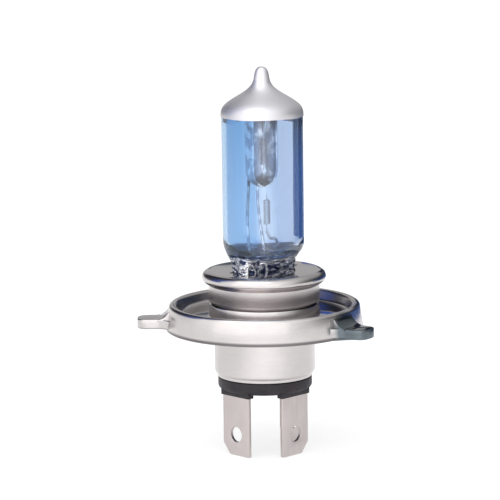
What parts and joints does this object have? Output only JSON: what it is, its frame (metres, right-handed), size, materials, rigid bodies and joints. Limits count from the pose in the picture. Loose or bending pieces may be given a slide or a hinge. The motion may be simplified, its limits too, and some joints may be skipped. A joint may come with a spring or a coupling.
{
  "type": "headlight bulb",
  "caption": "Halogen headlight bulb with a blue glass tube, silver tip coating, lugged flange base and flat blade terminals.",
  "frame": {"origin": "on the bulb axis, in the plane of the lugs' seating faces, where the lamp's reflector holds the flange", "axes": "+Z along the bulb axis towards the glass tip; the middle terminal blade faces -Y and the two parallel blades face -X and +X"},
  "size_m": [0.0471, 0.0494, 0.0849],
  "materials": {
    "blue_glass": "clear blue-tinted quartz glass, glossy",
    "silver_coating": "satin silver coating, opaque",
    "tungsten": "drawn wire, dull",
    "molybdenum": "bright formed sheet and wire",
    "nickel_wire": "satin wire",
    "bright_steel": "polished stamped stainless steel",
    "black_ceramic": "black moulded insulator, semi-matt",
    "tinned_blade": "satin tinned blade"
  },
  "bodies": {
    "root": {"glass_envelope": "blue_glass", "tip_coating": "silver_coating", "low_beam_filament": "tungsten", "high_beam_filament": "tungsten", "beam_shield": "molybdenum", "common_support": "molybdenum", "low_beam_support": "molybdenum", "high_beam_support": "molybdenum", "common_foil": "molybdenum", "low_beam_foil": "molybdenum", "high_beam_foil": "molybdenum", "common_lead": "nickel_wire", "low_beam_lead": "nickel_wire", "high_beam_lead": "nickel_wire", "seal_clip": "bright_steel", "focus_cap": "bright_steel", "inner_sleeve": "bright_steel", "flange_ring": "bright_steel", "base_shell": "bright_steel", "insulator": "black_ceramic", "common_blade": "tinned_blade", "low_beam_blade": "tinned_blade", "high_beam_blade": "tinned_blade"}
  },
  "joints": []
}
